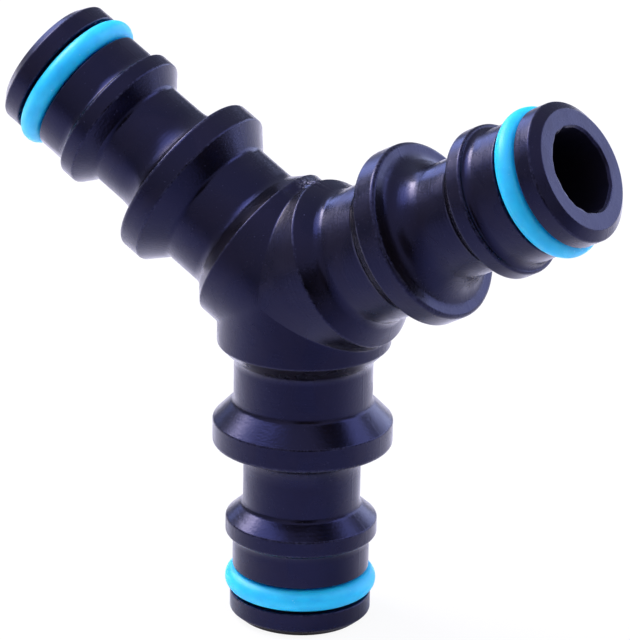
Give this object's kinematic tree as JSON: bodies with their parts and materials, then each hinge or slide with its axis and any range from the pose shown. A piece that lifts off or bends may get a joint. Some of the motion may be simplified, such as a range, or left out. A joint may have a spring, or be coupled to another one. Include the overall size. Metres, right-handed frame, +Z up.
{
  "type": "three-way hose coupling",
  "caption": "Moulded plastic Y-shaped garden hose coupling with equal push-on spigots at 120 degrees, each sealed by a rubber O-ring.",
  "frame": {"origin": "centre of the bottom spigot's end face, which the coupling stands on", "axes": "+Z up along the bottom spigot to the hub, +X towards the right spigot, Y across the flat of the Y with the pictured side facing -Y"},
  "size_m": [0.0764, 0.0204, 0.0666],
  "materials": {
    "body_plastic": "satin injection-moulded thermoplastic, dark navy",
    "ring_rubber": "smooth moulded rubber, sky blue"
  },
  "bodies": {
    "root": {"coupling_body": "body_plastic", "o_ring_bottom": "ring_rubber", "o_ring_left": "ring_rubber", "o_ring_right": "ring_rubber"}
  },
  "joints": []
}
